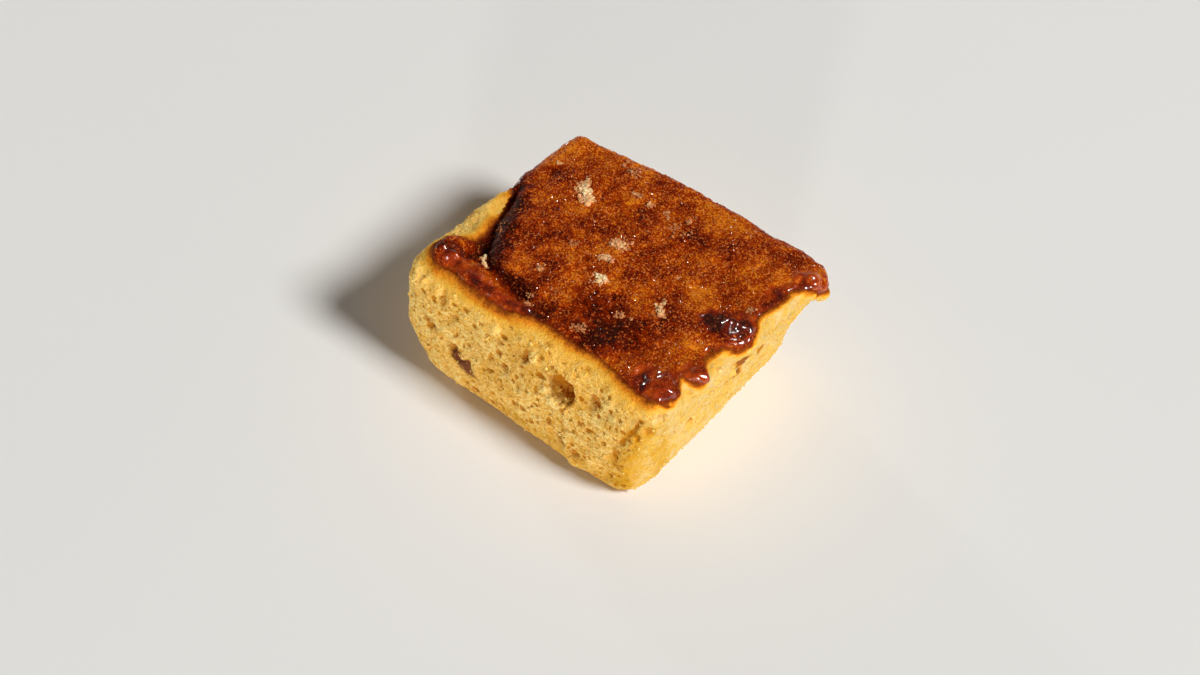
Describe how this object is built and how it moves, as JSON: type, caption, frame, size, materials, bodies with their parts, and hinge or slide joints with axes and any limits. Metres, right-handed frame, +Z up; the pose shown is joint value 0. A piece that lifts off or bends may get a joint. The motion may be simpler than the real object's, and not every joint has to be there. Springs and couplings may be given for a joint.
{
  "type": "sponge cake slab",
  "caption": "Slab of sponge cake with a dark caramelised sugar crust on top and open golden crumb on its sides.",
  "frame": {"origin": "on the flat underside, below the middle of the slab", "axes": "+X along the slab towards the end whose crust overhangs in lobes, -Y out of the long torn side, +Z up"},
  "size_m": [0.0783, 0.0631, 0.0358],
  "materials": {
    "sponge": "open golden crumb under a browned, half glossy sugar crust"
  },
  "bodies": {
    "root": {"sponge_cake": "sponge"}
  },
  "joints": []
}
